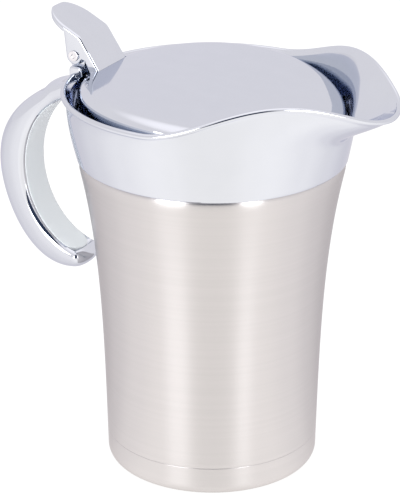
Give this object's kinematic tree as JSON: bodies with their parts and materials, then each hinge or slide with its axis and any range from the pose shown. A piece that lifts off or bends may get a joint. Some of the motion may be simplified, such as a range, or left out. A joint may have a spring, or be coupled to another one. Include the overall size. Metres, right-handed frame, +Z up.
{
  "type": "insulated gravy boat",
  "caption": "Insulated gravy boat: flared double-walled steel jug with a moulded spouted collar, a C handle and a hinged lid opened by a thumb lever.",
  "frame": {"origin": "centre of the base, on the plane that the jug stands on", "axes": "+Z up, +X towards the spout, -X towards the handle and hinge, Y across along the hinge pin"},
  "size_m": [0.1764, 0.1186, 0.1808],
  "materials": {
    "brushed_steel": "fine brushing round the body",
    "liner_steel": "satin",
    "bright_chrome": "bright plating on moulded plastic",
    "grip_strip": "satin moulded",
    "dark_plastic": "fine moulded texture",
    "silicone": "matt",
    "pin_steel": "turned"
  },
  "bodies": {
    "jug": {"outer_shell": "brushed_steel", "base_cup": "brushed_steel", "inner_liner": "liner_steel", "neck_seal": "silicone", "collar": "bright_chrome", "handle_cover": "grip_strip"},
    "lid": {"lid_cover": "bright_chrome", "lid_liner": "dark_plastic", "thumb_lever": "bright_chrome", "lever_screws": "pin_steel", "hinge_pin": "pin_steel", "pin_cap": "pin_steel"}
  },
  "joints": [
    {"name": "lid_hinge", "type": "hinge", "parent": "jug", "child": "lid", "pos_m": [-0.0564, 0, 0.1644], "axis": [0, -1, 0], "range_deg": [0, 85]}
  ]
}
